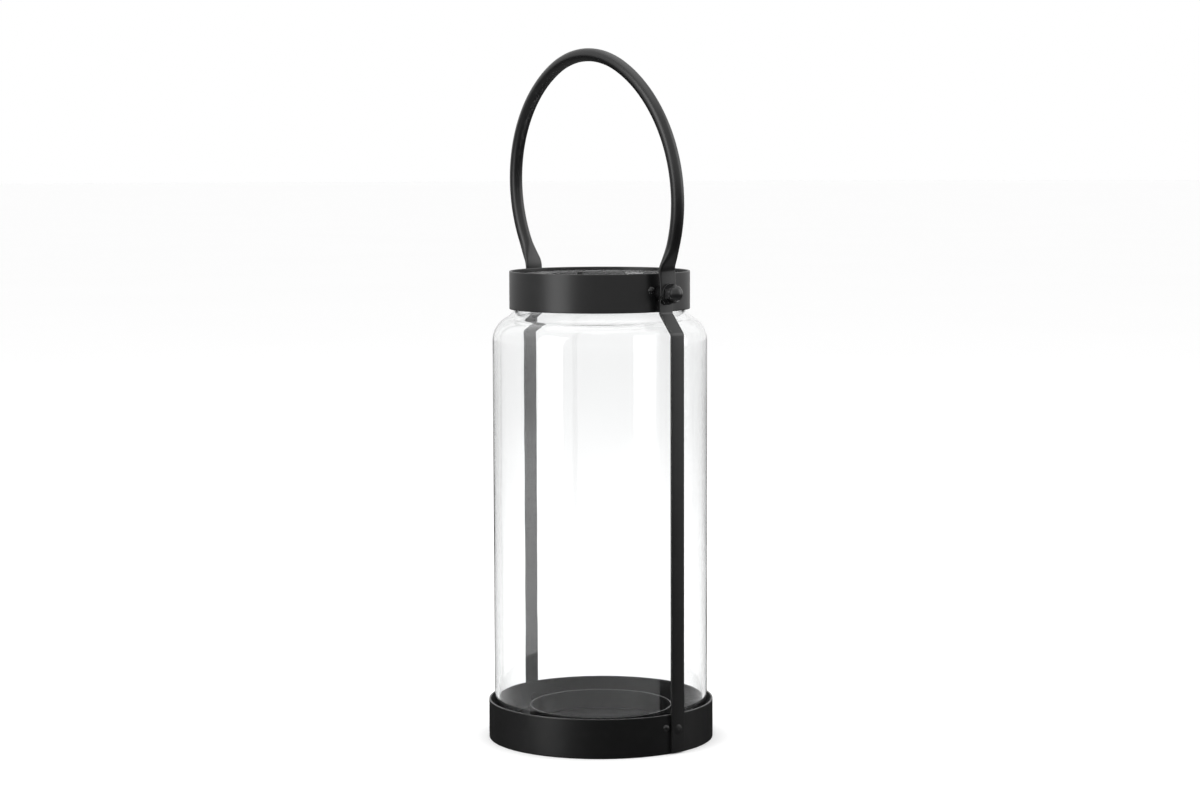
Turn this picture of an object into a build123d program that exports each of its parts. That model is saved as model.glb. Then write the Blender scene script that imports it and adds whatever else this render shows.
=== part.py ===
from build123d import *
import math
import os

# Candle lantern: a glass jar standing in a shallow round base, a collar round its neck,
# two flat straps that join base and collar, and a tall arched handle pivoting on two bolts.
# Millimetres. Origin: centre of the base on the table. +Z up, +X through the right-hand pivot.

# --- Glass jar -------------------------------------------------------------------------
GLASS_RADIUS = 66.4          # outside of the straight body
GLASS_WALL = 2.6
GLASS_STRAIGHT = 240.5       # foot of the jar to where the shoulder starts
SHOULDER_RADIUS = 16.0       # outside radius of the rounded shoulder
SHOULDER_TURN = 62.0         # degrees the shoulder turns before it sweeps back up
NECK_INSET = 15.0            # outside of the neck, in from the outside of the body

# --- Sheet-metal base ------------------------------------------------------------------
BAND_WALL = 1.2              # thickness of the rolled rim and collar bands
BAND_EDGE = 0.4              # rounding along the edges of the bands
RIM_GAP = 2.4                # between the jar and the inside of the rim
RIM_HEIGHT = 24.2
FLOOR_TOP = 8.0              # the floor that jar and candle stand on
FLOOR_SHEET = 1.2
FLOOR_SKIRT_CLEAR = 1.0      # from the table to the floor's turned-down skirt
CANDLE_RING_RADIUS = 44.5
CANDLE_RING_HEIGHT = 12.2
CANDLE_RING_WALL = 1.0

# --- Collar ----------------------------------------------------------------------------
NECK_CLEAR = 0.9             # between the neck and the bolt heads inside the collar
COLLAR_HEIGHT = 23.5
COLLAR_LIFT = 3.9            # the collar's lower edge above the shoulder under it
COLLAR_PROUD = 2.0           # the collar stands this far above the jar's lip

# --- Seams of the two bands ------------------------------------------------------------
SEAM_PLATE = 0.8             # thickness of the curved plate behind each seam
SEAM_PLATE_MARGIN = 1.6      # plate left outside its last rivet or bolt
SEAM_PLATE_INSET = 3.0       # from the plate's edges to the band's edges
SEAM_STRAP_GAP = 0.6         # rim's seam rivet to the strap's edge
SEAM_PIVOT_GAP = 0.2         # collar's seam rivet to the spacer and the bolt's head
SEAM_RIVET_HEAD = 2.3        # radius of the seam rivet's head
SEAM_RIVET_DOME = 1.4
SEAM_RIVET_SHANK = 1.5
SEAM_RIVET_RAISE = 1.6       # seam rivet above the strap's own fastener
TAIL_DEPTH = 0.6             # closed end of every rivet, inside
TAIL_GROWTH = 0.5            # radius of that end beyond the shank

# --- Straps ----------------------------------------------------------------------------
STRAP_WIDTH = 10.0
STRAP_SHEET = 1.6
STRAP_EDGE = 0.25
STRAP_CLEAR = 0.5            # from the table to the strap's end
STRAP_KINK_DROP = 12.5       # pivot down to the upper kink
STRAP_KINK_RISE = 12.0       # height taken by the slanting stretch
STRAP_BEND = 3.0             # bend radius of the kinks at the strap's middle
RIM_RIVET_DROP = 9.6         # rim's upper edge down to the rivet
RIM_RIVET_HEAD = 3.2
RIM_RIVET_DOME = 0.35        # almost flush
RIM_RIVET_SHANK = 2.0

# --- Pivot hardware --------------------------------------------------------------------
BOLT_RADIUS = 2.95
BOLT_HEAD_EDGE = 1.55        # head's radius beyond the bolt's
BOLT_HEAD = 1.6
PIVOT_CLEARANCE = 0.1        # radial, bolt in strap, tab and washer
SPACER_EDGE = 1.55           # spacer's radius beyond the bolt's
SPACER_LENGTH = 4.0          # holds the strap off the collar
TAB_PLAY = 0.05              # each side of the handle's tab
WASHER_RADIUS = 6.0
WASHER_SHEET = 1.0
NUT_FLATS = 10.0
NUT_HEIGHT = 4.5
NUT_DOME_STEP = 0.2          # dome's foot in from the flats
NUT_DOME_STRAIGHT = 1.0      # short cylinder under the dome
NUT_CROWN = 3.0              # height of the dome itself
NUT_CAP = 1.6                # metal over the end of the bolt

# --- Handle ----------------------------------------------------------------------------
TUBE_RADIUS = 4.0
TUBE_WALL = 1.0
HANDLE_BULGE = 12.95         # the handle's widest point beyond its tab
SIDE_OFFSET = 10.4           # centre of each side arc beyond the lantern's middle
CROWN_HALF_ANGLE = 28.2      # degrees of crown arc each side of the top
TAB_BEND = 10.0              # radius where a leg turns down into its tab
TAB_RISE = 12.8              # straight tab above the pivot
TAB_WIDTH = 12.6
TAB_THICK = 2.2
TAB_DROP = 7.0               # tab below the pivot
TAB_EDGE = 0.9               # rounding along the tab's edges
FLATTEN_LENGTH = 13.0        # tube from round to the start of the bend
TUBE_FLAT = 0.02             # the round stretch is this much thinner than wide, as its ends are
HANDLE_LEAN = 4.0            # degrees from upright, about +X, at rest

# --- Places that follow from the sizes -------------------------------------------------
RIM_RADIUS = GLASS_RADIUS + RIM_GAP + BAND_WALL
RIM_INSIDE = RIM_RADIUS - BAND_WALL
NECK_RADIUS = GLASS_RADIUS - NECK_INSET
COLLAR_INSIDE = NECK_RADIUS + NECK_CLEAR + BOLT_HEAD + SEAM_PLATE
COLLAR_RADIUS = COLLAR_INSIDE + BAND_WALL
RIM_RIVET_HEIGHT = RIM_HEIGHT - RIM_RIVET_DROP
BOLT_HEAD_RADIUS = BOLT_RADIUS + BOLT_HEAD_EDGE
SPACER_RADIUS = BOLT_RADIUS + SPACER_EDGE
NUT_DOME_RADIUS = NUT_FLATS / 2 - NUT_DOME_STEP

SHOULDER_X = GLASS_RADIUS - SHOULDER_RADIUS
SHOULDER_Z = FLOOR_TOP + GLASS_STRAIGHT
TURN = math.radians(SHOULDER_TURN)
SWEEP_START = (SHOULDER_X + SHOULDER_RADIUS * math.cos(TURN),
               SHOULDER_Z + SHOULDER_RADIUS * math.sin(TURN))
SWEEP_RADIUS = (SWEEP_START[0] - NECK_RADIUS) / (1 - math.cos(TURN))
NECK_Z = SWEEP_START[1] + SWEEP_RADIUS * math.sin(TURN)


def shoulder_height(radius):
    """Height of the jar's outside where its shoulder or sweep has this radius."""
    if radius > SWEEP_START[0]:
        return SHOULDER_Z + math.sqrt(SHOULDER_RADIUS ** 2 - (radius - SHOULDER_X) ** 2)
    return NECK_Z - math.sqrt(SWEEP_RADIUS ** 2 - (NECK_RADIUS + SWEEP_RADIUS - radius) ** 2)


COLLAR_BOTTOM = shoulder_height(COLLAR_RADIUS) + COLLAR_LIFT
COLLAR_TOP = COLLAR_BOTTOM + COLLAR_HEIGHT
LIP_Z = COLLAR_TOP - COLLAR_PROUD
PIVOT_Z = COLLAR_BOTTOM + COLLAR_HEIGHT / 2
STRAP_IN_TOP = COLLAR_RADIUS + SPACER_LENGTH
TAB_IN = STRAP_IN_TOP + STRAP_SHEET + TAB_PLAY
TAB_MID = TAB_IN + TAB_THICK / 2
WASHER_IN = TAB_IN + TAB_THICK + TAB_PLAY
NUT_IN = WASHER_IN + WASHER_SHEET
NUT_TIP = NUT_IN + NUT_HEIGHT + NUT_DOME_STRAIGHT + NUT_CROWN
PIVOT_HOLE = BOLT_RADIUS + PIVOT_CLEARANCE

RIM_SEAM_OFFSET = STRAP_WIDTH / 2 + SEAM_STRAP_GAP + SEAM_RIVET_HEAD
RIM_SEAM_ANGLE = math.degrees(math.asin(RIM_SEAM_OFFSET / RIM_RADIUS))
SEAM_TAIL = SEAM_RIVET_SHANK + TAIL_GROWTH
HEAD_REACH = SPACER_RADIUS + SEAM_RIVET_HEAD + SEAM_PIVOT_GAP
TAIL_REACH = BOLT_HEAD_RADIUS + SEAM_TAIL + SEAM_PIVOT_GAP
COLLAR_SEAM_ANGLE = math.degrees(max(
    math.asin(math.sqrt(HEAD_REACH ** 2 - SEAM_RIVET_RAISE ** 2) / COLLAR_RADIUS),
    math.asin(math.sqrt(TAIL_REACH ** 2 - SEAM_RIVET_RAISE ** 2) / (COLLAR_INSIDE - SEAM_PLATE))))

SIDES = {"right": 0, "left": 180}    # name of each side and its turn about Z


# --- Helpers ---------------------------------------------------------------------------
def radial(shape, turn=0.0):
    """A shape made along +X, turned round the lantern by an angle in degrees."""
    return Rot(Z=turn) * shape


def rod(radius, start, end, height):
    """A cylinder lying along X from start to end."""
    return Pos((start + end) / 2, 0, height) * Rot(Y=90) * Cylinder(radius, end - start)


def spun(outline, height):
    """A closed outline of (x, r) points spun round the X axis and lifted to a height."""
    face = make_face(Polyline(*[(x, r) for x, r in outline], close=True))
    return Pos(0, 0, height) * revolve(face, Axis.X)


def seat(inside_radius, half_width):
    """Where a flat head of this half width comes to rest inside a curved band."""
    return math.sqrt(inside_radius ** 2 - half_width ** 2)


def band(outside_radius, bottom, height, wall, edge):
    """A rolled band with softly rounded edges."""
    section = Plane.XZ * Pos(outside_radius - wall / 2, bottom + height / 2)
    return revolve(section * RectangleRounded(wall, height, edge), Axis.Z)


def dome_head(radius, rise, start):
    """Half outline of a domed head that starts at x = start."""
    ball = (radius ** 2 + rise ** 2) / (2 * rise)
    tip = start + rise
    arc = ThreePointArc((start, radius), dome_point(tip - ball, ball, radius / 2), (tip, 0))
    return make_face(arc + Line((tip, 0), (start, 0)) + Line((start, 0), (start, radius)))


def dome_point(centre, ball, height):
    """A point on a ball centred on the X axis, at this distance from the axis."""
    return centre + math.sqrt(ball ** 2 - height ** 2), height


# --- Glass -----------------------------------------------------------------------------
def glass_body():
    """The jar: open at both ends, straight body, rounded shoulder, neck, fire-polished edges."""
    mid = GLASS_WALL / 2
    body_x = GLASS_RADIUS - mid
    neck_x = NECK_RADIUS - mid
    shoulder = SHOULDER_RADIUS - mid
    sweep = SWEEP_RADIUS + mid
    bend = (SHOULDER_X + shoulder * math.cos(TURN), SHOULDER_Z + shoulder * math.sin(TURN))
    half = TURN / 2
    shoulder_way = (SHOULDER_X + shoulder * math.cos(half), SHOULDER_Z + shoulder * math.sin(half))
    sweep_x = NECK_RADIUS + SWEEP_RADIUS
    sweep_way = (sweep_x - sweep * math.cos(half), NECK_Z - sweep * math.sin(half))
    middle = (Line((body_x, FLOOR_TOP + mid), (body_x, SHOULDER_Z))
              + ThreePointArc((body_x, SHOULDER_Z), shoulder_way, bend)
              + ThreePointArc(bend, sweep_way, (neck_x, NECK_Z))
              + Line((neck_x, NECK_Z), (neck_x, LIP_Z - mid)))
    wall = make_face(offset(middle, mid, kind=Kind.ARC, side=Side.BOTH).edges())
    return revolve(Plane.XZ * wall, Axis.Z)


# --- Base ------------------------------------------------------------------------------
def base_rim():
    """The rolled band round the foot, drilled for the straps and its own seam rivet."""
    rim = band(RIM_RADIUS, 0, RIM_HEIGHT, BAND_WALL, BAND_EDGE)
    for turn in SIDES.values():
        rim -= radial(rod(RIM_RIVET_SHANK, RIM_INSIDE - 2, RIM_RADIUS + 2, RIM_RIVET_HEIGHT), turn)
    seam_height = RIM_RIVET_HEIGHT + SEAM_RIVET_RAISE
    hole = rod(SEAM_RIVET_SHANK, RIM_INSIDE - 2, RIM_RADIUS + 2, seam_height)
    return rim - radial(hole, -RIM_SEAM_ANGLE)


def base_floor():
    """The pressed floor: a flat disc with its skirt turned down inside the rim."""
    depth = FLOOR_TOP - FLOOR_SKIRT_CLEAR
    pan = Pos(0, 0, FLOOR_TOP - depth / 2) * Cylinder(RIM_INSIDE, depth)
    hollow = Cylinder(RIM_INSIDE - FLOOR_SHEET, depth)
    return pan - Pos(0, 0, FLOOR_TOP - FLOOR_SHEET - depth / 2) * hollow


def candle_ring():
    """The low ring that keeps the candle in the middle of the floor."""
    edge = min(BAND_EDGE, CANDLE_RING_WALL / 3)
    return band(CANDLE_RING_RADIUS, FLOOR_TOP, CANDLE_RING_HEIGHT, CANDLE_RING_WALL, edge)


# --- Collar ----------------------------------------------------------------------------
def collar_band():
    """The rolled band round the neck, drilled for both pivot bolts and its seam rivet."""
    collar = band(COLLAR_RADIUS, COLLAR_BOTTOM, COLLAR_HEIGHT, BAND_WALL, BAND_EDGE)
    for turn in SIDES.values():
        collar -= radial(rod(PIVOT_HOLE, COLLAR_INSIDE - 2, COLLAR_RADIUS + 2, PIVOT_Z), turn)
    seam_height = PIVOT_Z + SEAM_RIVET_RAISE
    hole = rod(SEAM_RIVET_SHANK, COLLAR_INSIDE - 2, COLLAR_RADIUS + 2, seam_height)
    return collar - radial(hole, -COLLAR_SEAM_ANGLE)


# --- Seams -----------------------------------------------------------------------------
def seam_plate(band_inside, seam_angle, bottom, top, fastener_radius, fastener_height):
    """A curved plate inside a band, under the strap's fastener and the seam rivet."""
    seam_margin = math.degrees((SEAM_TAIL + SEAM_PLATE_MARGIN) / band_inside)
    near_margin = math.degrees((fastener_radius + SEAM_PLATE_MARGIN) / band_inside)
    middle = (bottom + top) / 2
    section = Plane.XZ * Pos(band_inside - SEAM_PLATE / 2, middle) * Rectangle(SEAM_PLATE, top - bottom)
    sweep_angle = seam_angle + seam_margin + near_margin
    plate = radial(revolve(section, Axis.Z, sweep_angle), -seam_angle - seam_margin)
    start, end = band_inside - 2 * SEAM_PLATE, band_inside + SEAM_PLATE
    plate -= rod(fastener_radius, start, end, fastener_height)
    seam_hole = rod(SEAM_RIVET_SHANK, start, end, fastener_height + SEAM_RIVET_RAISE)
    return plate - radial(seam_hole, -seam_angle)


def rim_seam_plate():
    """Stands on the floor, behind the right-hand strap's rivet."""
    top = RIM_HEIGHT - SEAM_PLATE_INSET
    return seam_plate(RIM_INSIDE, RIM_SEAM_ANGLE, FLOOR_TOP, top, RIM_RIVET_SHANK, RIM_RIVET_HEIGHT)


def collar_seam_plate():
    """Held by the right-hand pivot bolt and the seam rivet."""
    bottom, top = COLLAR_BOTTOM + SEAM_PLATE_INSET, COLLAR_TOP - SEAM_PLATE_INSET
    return seam_plate(COLLAR_INSIDE, COLLAR_SEAM_ANGLE, bottom, top, PIVOT_HOLE, PIVOT_Z)


def rivet(head_radius, dome, shank_radius, bearing, inner_face, height):
    """A domed rivet along X: head outside at the bearing face, closed tail inside."""
    tail_radius = shank_radius + TAIL_GROWTH
    tail_face = seat(inner_face, tail_radius)
    head = revolve(dome_head(head_radius, dome, bearing), Axis.X)
    shank = spun([(tail_face, 0), (bearing, 0), (bearing, shank_radius), (tail_face, shank_radius)], 0)
    tail = spun([(tail_face - TAIL_DEPTH, 0), (tail_face, 0), (tail_face, tail_radius),
                 (tail_face - TAIL_DEPTH, tail_radius * 0.85)], 0)
    return Pos(0, 0, height) * (head + shank + tail)


def seam_rivet(band_radius, band_inside, seam_angle, height):
    inner = band_inside - SEAM_PLATE
    made = rivet(SEAM_RIVET_HEAD, SEAM_RIVET_DOME, SEAM_RIVET_SHANK, band_radius, inner, height)
    return radial(made, -seam_angle)


# --- Straps ----------------------------------------------------------------------------
def strap():
    """A flat strap: up the rim and the jar, kinked in over the shoulder, up past the pivot."""
    half = STRAP_SHEET / 2
    low_x, high_x = RIM_RADIUS + half, STRAP_IN_TOP + half
    upper_kink = PIVOT_Z - STRAP_KINK_DROP
    lower_kink = upper_kink - STRAP_KINK_RISE
    low, high = STRAP_CLEAR + half, PIVOT_Z + STRAP_WIDTH
    route = [(low_x, low), (low_x, lower_kink), (high_x, upper_kink), (high_x, high)]
    middle = FilletPolyline(*route, radius=STRAP_BEND)
    side = make_face(offset(middle, half, kind=Kind.INTERSECTION, side=Side.BOTH).edges())
    strip = extrude(Plane.XZ * side, STRAP_WIDTH / 2, both=True)
    round_end = Pos(0, 0, PIVOT_Z) * Rot(Y=90) * Cylinder(STRAP_WIDTH / 2, 4 * RIM_RADIUS)
    long_part = Box(4 * RIM_RADIUS, STRAP_WIDTH, 2 * PIVOT_Z)
    strip = fillet(strip.edges().filter_by(Axis.Y, reverse=True), STRAP_EDGE)
    strip -= rod(PIVOT_HOLE, high_x - STRAP_SHEET, high_x + STRAP_SHEET, PIVOT_Z)
    strip -= rod(RIM_RIVET_SHANK, low_x - STRAP_SHEET, low_x + STRAP_SHEET, RIM_RIVET_HEIGHT)
    return strip & (long_part + round_end)


def rim_rivet(has_plate):
    """Fastens a strap to the rim, and on the seam's side to the plate behind it as well."""
    inner = RIM_INSIDE - (SEAM_PLATE if has_plate else 0)
    return rivet(RIM_RIVET_HEAD, RIM_RIVET_DOME, RIM_RIVET_SHANK,
                 RIM_RADIUS + STRAP_SHEET, inner, RIM_RIVET_HEIGHT)


# --- Pivot hardware --------------------------------------------------------------------
def pivot_bolt(has_plate):
    """Low-headed bolt from inside the collar, out through the strap and the handle's tab."""
    inner = COLLAR_INSIDE - (SEAM_PLATE if has_plate else 0)
    bearing = seat(inner, BOLT_HEAD_RADIUS)
    edge = BOLT_HEAD / 4
    back = bearing - BOLT_HEAD
    outline = [(back, 0), (NUT_TIP - NUT_CAP, 0), (NUT_TIP - NUT_CAP, BOLT_RADIUS),
               (bearing, BOLT_RADIUS), (bearing, BOLT_HEAD_RADIUS),
               (back + edge, BOLT_HEAD_RADIUS), (back, BOLT_HEAD_RADIUS - edge)]
    return spun(outline, PIVOT_Z)


def spacer():
    outer = rod(SPACER_RADIUS, COLLAR_RADIUS, STRAP_IN_TOP, PIVOT_Z)
    return outer - rod(PIVOT_HOLE, COLLAR_RADIUS - 1, STRAP_IN_TOP + 1, PIVOT_Z)


def washer():
    outer = rod(WASHER_RADIUS, WASHER_IN, NUT_IN, PIVOT_Z)
    outer = fillet(outer.edges(), WASHER_SHEET / 4)
    return outer - rod(PIVOT_HOLE, WASHER_IN - 1, NUT_IN + 1, PIVOT_Z)


def cap_nut():
    """Domed cap nut: chamfered hexagon, short neck and dome, blind bore for the bolt."""
    corner = NUT_FLATS / math.sqrt(3)
    prism = extrude(RegularPolygon(corner, 6), NUT_HEIGHT)
    prism = Pos(NUT_IN, 0, 0) * Rot(X=90) * Rot(Y=90) * prism
    reach = corner - NUT_FLATS / 2
    turned = [(NUT_IN, 0), (NUT_IN + NUT_HEIGHT, 0), (NUT_IN + NUT_HEIGHT, NUT_FLATS / 2),
              (NUT_IN + NUT_HEIGHT - reach / 2, corner), (NUT_IN + reach / 2, corner),
              (NUT_IN, NUT_FLATS / 2)]
    hexagon = prism & spun(turned, 0)
    neck_end = NUT_IN + NUT_HEIGHT + NUT_DOME_STRAIGHT
    neck = rod(NUT_DOME_RADIUS, NUT_IN + NUT_HEIGHT, neck_end, 0)
    dome = revolve(dome_head(NUT_DOME_RADIUS, NUT_CROWN, neck_end), Axis.X)
    bore = rod(BOLT_RADIUS, NUT_IN - 1, NUT_TIP - NUT_CAP, 0)
    return Pos(0, 0, PIVOT_Z) * (hexagon + neck + dome - bore)


# --- Handle ----------------------------------------------------------------------------
def on_arc(centre, radius, angle):
    """A point on an arc, the angle measured down from level in radians."""
    return centre[0] + radius * math.cos(angle), centre[1] - radius * math.sin(angle)


def handle_points():
    """Right half of the tube's middle line in the handle's own plane, heights from the pivot."""
    angle = math.radians(CROWN_HALF_ANGLE)
    side_radius = TAB_MID + HANDLE_BULGE + SIDE_OFFSET
    across = TAB_MID + TAB_BEND + SIDE_OFFSET
    down = math.sqrt((side_radius + TAB_BEND) ** 2 - across ** 2)
    side = (-SIDE_OFFSET, TAB_RISE + down)
    crown_radius = side_radius - SIDE_OFFSET / math.sin(angle)
    crown_z = side[1] + SIDE_OFFSET / math.tan(angle)
    leg_angle = math.atan2(down, across)
    return {"side": side, "side_radius": side_radius, "leg_angle": leg_angle,
            "round_angle": leg_angle - FLATTEN_LENGTH / side_radius,
            "shoulder_angle": angle - math.pi / 2,
            "shoulder": on_arc((0, crown_z), crown_radius, angle - math.pi / 2),
            "crown": (0, crown_z + crown_radius)}


def cross_plane(place, tilt):
    """The plane square across a leg where it tilts this far, in radians, from upright."""
    normal = (math.sin(tilt), 0, math.cos(tilt))
    return Plane(origin=(place[0], 0, place[1]), x_dir=(0, 1, 0), z_dir=normal)


def handle_path(points):
    """The round stretch of the tube, from one leg over the crown to the other."""
    side, radius, shoulder = points["side"], points["side_radius"], points["shoulder"]
    end = on_arc(side, radius, points["round_angle"])
    way = on_arc(side, radius, (points["shoulder_angle"] + points["round_angle"]) / 2)
    crown = ThreePointArc((-shoulder[0], shoulder[1]), points["crown"], shoulder)
    right = ThreePointArc(shoulder, way, end)
    left = ThreePointArc((-end[0], end[1]), (-way[0], way[1]), (-shoulder[0], shoulder[1]))
    return Plane.XZ * (left + crown + right)


def flattened_end(points):
    """Where a leg is pressed from round tube to the flat tab, as it turns down."""
    side, radius = points["side"], points["side_radius"]
    start, leg = points["round_angle"], points["leg_angle"]
    across, thick = 2 * TUBE_RADIUS, 2 * TUBE_RADIUS - TUBE_FLAT
    stations = [(on_arc(side, radius, start), start, 0.0),
                (on_arc(side, radius, (start + leg) / 2), (start + leg) / 2, 0.3),
                (on_arc(side, radius, leg), leg, 0.78),
                ((TAB_MID, TAB_RISE), 0.0, 1.0)]
    sections = []
    for place, tilt, share in stations:
        section = SlotOverall(across + share * (TAB_WIDTH - across), thick + share * (TAB_THICK - thick))
        sections.append(cross_plane(place, tilt) * section)
    return loft(sections)


def tab():
    """The flat tab that turns on the pivot, rounded below and drilled for the bolt."""
    half = TAB_WIDTH / 2
    low = half - TAB_DROP
    outline = (Line((-half, TAB_RISE), (half, TAB_RISE)) + Line((half, TAB_RISE), (half, low))
               + ThreePointArc((half, low), (0, -TAB_DROP), (-half, low))
               + Line((-half, low), (-half, TAB_RISE)))
    plane = Plane(origin=(TAB_IN, 0, 0), x_dir=(0, 1, 0), z_dir=(1, 0, 0))
    plate = extrude(plane * make_face(outline), TAB_THICK)
    rounded = [e for e in plate.edges().filter_by(Plane.YZ) if e.center().Z < TAB_RISE - TAB_EDGE / 2]
    plate = fillet(rounded, TAB_EDGE)
    return plate - rod(PIVOT_HOLE, TAB_IN - 1, TAB_IN + TAB_THICK + 1, 0)


def handle():
    """One bent tube with both ends flattened into tabs, leaning about the pivots."""
    points = handle_points()
    path = handle_path(points)
    start = Plane(origin=path @ 0, x_dir=(0, 1, 0), z_dir=path % 0)
    tube = sweep(start * SlotOverall(2 * TUBE_RADIUS, 2 * TUBE_RADIUS - TUBE_FLAT), path)
    end = flattened_end(points) + tab()
    whole = tube + end + Rot(Z=180) * end
    bore = sweep(start * Circle(TUBE_RADIUS - TUBE_WALL), path)
    return Pos(0, 0, PIVOT_Z) * Rot(X=HANDLE_LEAN) * (whole - bore)


# --- The lantern -----------------------------------------------------------------------
def lantern():
    """Every piece in its place, by name."""
    seam_rim_height = RIM_RIVET_HEIGHT + SEAM_RIVET_RAISE
    seam_collar_height = PIVOT_Z + SEAM_RIVET_RAISE
    pieces = {
        "base_rim": base_rim(),
        "base_floor": base_floor(),
        "candle_ring": candle_ring(),
        "glass_body": glass_body(),
        "collar_band": collar_band(),
        "rim_seam_plate": rim_seam_plate(),
        "collar_seam_plate": collar_seam_plate(),
        "rim_seam_rivet": seam_rivet(RIM_RADIUS, RIM_INSIDE, RIM_SEAM_ANGLE, seam_rim_height),
        "collar_seam_rivet": seam_rivet(COLLAR_RADIUS, COLLAR_INSIDE, COLLAR_SEAM_ANGLE,
                                        seam_collar_height),
        "handle": handle(),
    }
    for side, turn in SIDES.items():
        on_seam = side == "right"
        pieces["strap_" + side] = radial(strap(), turn)
        pieces["rim_rivet_" + side] = radial(rim_rivet(on_seam), turn)
        pieces["pivot_bolt_" + side] = radial(pivot_bolt(on_seam), turn)
        pieces["spacer_" + side] = radial(spacer(), turn)
        pieces["washer_" + side] = radial(washer(), turn)
        pieces["cap_nut_" + side] = radial(cap_nut(), turn)
    return pieces


os.makedirs("parts", exist_ok=True)
for name, piece in lantern().items():
    export_step(piece, "parts/" + name + ".step")
    print(name, round(piece.volume, 1))
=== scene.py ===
import math

import bmesh
import bpy
from bpy.props import FloatProperty, FloatVectorProperty, PointerProperty
from mathutils import Matrix, Vector


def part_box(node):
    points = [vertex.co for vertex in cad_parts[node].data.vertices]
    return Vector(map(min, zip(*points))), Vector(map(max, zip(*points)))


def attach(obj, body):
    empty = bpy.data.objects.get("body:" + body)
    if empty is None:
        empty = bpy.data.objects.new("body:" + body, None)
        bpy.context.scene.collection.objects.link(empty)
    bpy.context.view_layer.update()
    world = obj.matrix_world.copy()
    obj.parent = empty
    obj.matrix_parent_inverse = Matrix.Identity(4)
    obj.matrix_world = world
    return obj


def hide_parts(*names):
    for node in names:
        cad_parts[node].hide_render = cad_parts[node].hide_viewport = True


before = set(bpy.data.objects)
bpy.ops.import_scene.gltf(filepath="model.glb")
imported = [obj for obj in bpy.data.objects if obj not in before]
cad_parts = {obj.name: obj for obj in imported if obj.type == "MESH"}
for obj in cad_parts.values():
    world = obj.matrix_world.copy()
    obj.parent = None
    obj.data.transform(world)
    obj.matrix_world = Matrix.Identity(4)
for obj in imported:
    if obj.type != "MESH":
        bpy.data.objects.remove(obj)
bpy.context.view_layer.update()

bl_info = {
    "name": "Candle Lantern",
    "version": (1, 0, 0),
    "blender": (4, 5, 0),
    "location": "View3D > Sidebar > Lantern",
    "description": "Builds a glass candle lantern with a black metal base, collar, straps and handle",
    "category": "Object",
}

# Everything is in metres: +Z up, +X through the right-hand pivot, origin under the middle of the base.
MM = 0.001
SMALL = 1e-9
LANTERN, HANDLE = "lantern", "handle"      # the two bodies, which the pivot joins
SIDES = {"right": 0.0, "left": math.pi}    # each side's turn about +Z
ROUND = 192                                # faces round the wide turned pieces
ROUND_SMALL = 72                           # faces round the nuts and washers
SHARP = 32.0                               # degrees between two faces from which their edge is sharp
TIP_TURN = math.radians(87)                # a rounded strip end stops short of its point, at a small flat
TIP_STEPS = 16                             # stations over that rounded end


def lowest(node):
    """The low corner of a CAD node's box."""
    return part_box(node)[0]


def highest(node):
    """The high corner of a CAD node's box."""
    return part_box(node)[1]


PIVOT_Z = (lowest("washer_right").z + highest("washer_right").z) / 2
RIM_RADIUS = highest("base_rim").x
FLOOR_TOP, FLOOR_FOOT = highest("base_floor").z, lowest("base_floor").z
STRAP_SHEET = highest("strap_right").x - RIM_RADIUS
STRAP_WIDTH = 2 * highest("strap_right").y
STRAP_TOP_IN = highest("spacer_right").x
TAB_MID = (STRAP_TOP_IN + STRAP_SHEET + lowest("washer_right").x) / 2


# --- Sizes and colours that a user may change -------------------------------------------
def length(name, text, default):
    return FloatProperty(name=name, description=text, default=default, min=0.0, unit="LENGTH", precision=5)


def turn(name, text, degrees):
    return FloatProperty(name=name, description=text, default=math.radians(degrees), subtype="ANGLE")


def colour(name, text, default):
    return FloatVectorProperty(name=name, description=text, default=default, size=3, min=0.0, max=1.0,
                               subtype="COLOR")


def share(name, text, default):
    return FloatProperty(name=name, description=text, default=default, min=0.0, max=1.0, subtype="FACTOR")


class LanternSheetSizes(bpy.types.PropertyGroup):
    """Sizes of the sheet-metal pieces."""
    band_wall: length("Band wall", "Thickness of the rolled rim and collar", 1.2 * MM)
    band_edge: length("Band edge", "Rounding along the edges of the bands", 0.4 * MM)
    floor_sheet: length("Floor sheet", "Thickness of the pressed floor", 1.2 * MM)
    floor_bend: length("Floor bend", "Outside radius where the floor turns down", 1.6 * MM)
    ring_wall: length("Candle ring wall", "Thickness of the candle ring", 1.0 * MM)
    strap_edge: length("Strap edge", "Rounding along the straps' edges", 0.25 * MM)
    kink_drop: length("Kink drop", "From the pivot down to a strap's upper kink", 12.5 * MM)
    kink_rise: length("Kink rise", "Height taken by a strap's slanting stretch", 12.0 * MM)
    strap_bend: length("Strap bend", "Bend radius of a strap's kinks", 3.0 * MM)


class LanternJarSizes(bpy.types.PropertyGroup):
    """Sizes of the glass jar."""
    wall: length("Glass wall", "Thickness of the jar", 2.6 * MM)
    straight: length("Straight height", "From the jar's foot to its shoulder", 240.5 * MM)
    shoulder: length("Shoulder radius", "Outside radius of the rounded shoulder", 16.0 * MM)
    shoulder_turn: turn("Shoulder turn", "How far the shoulder turns before it sweeps up", 62.0)
    neck_inset: length("Neck inset", "From the outside of the body in to the neck", 15.0 * MM)
    ripple: length("Ripple", "Height of the faint rings that the mould leaves", 0.035 * MM)
    ripple_pitch: length("Ripple pitch", "Between one faint ring and the next", 3.4 * MM)


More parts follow.
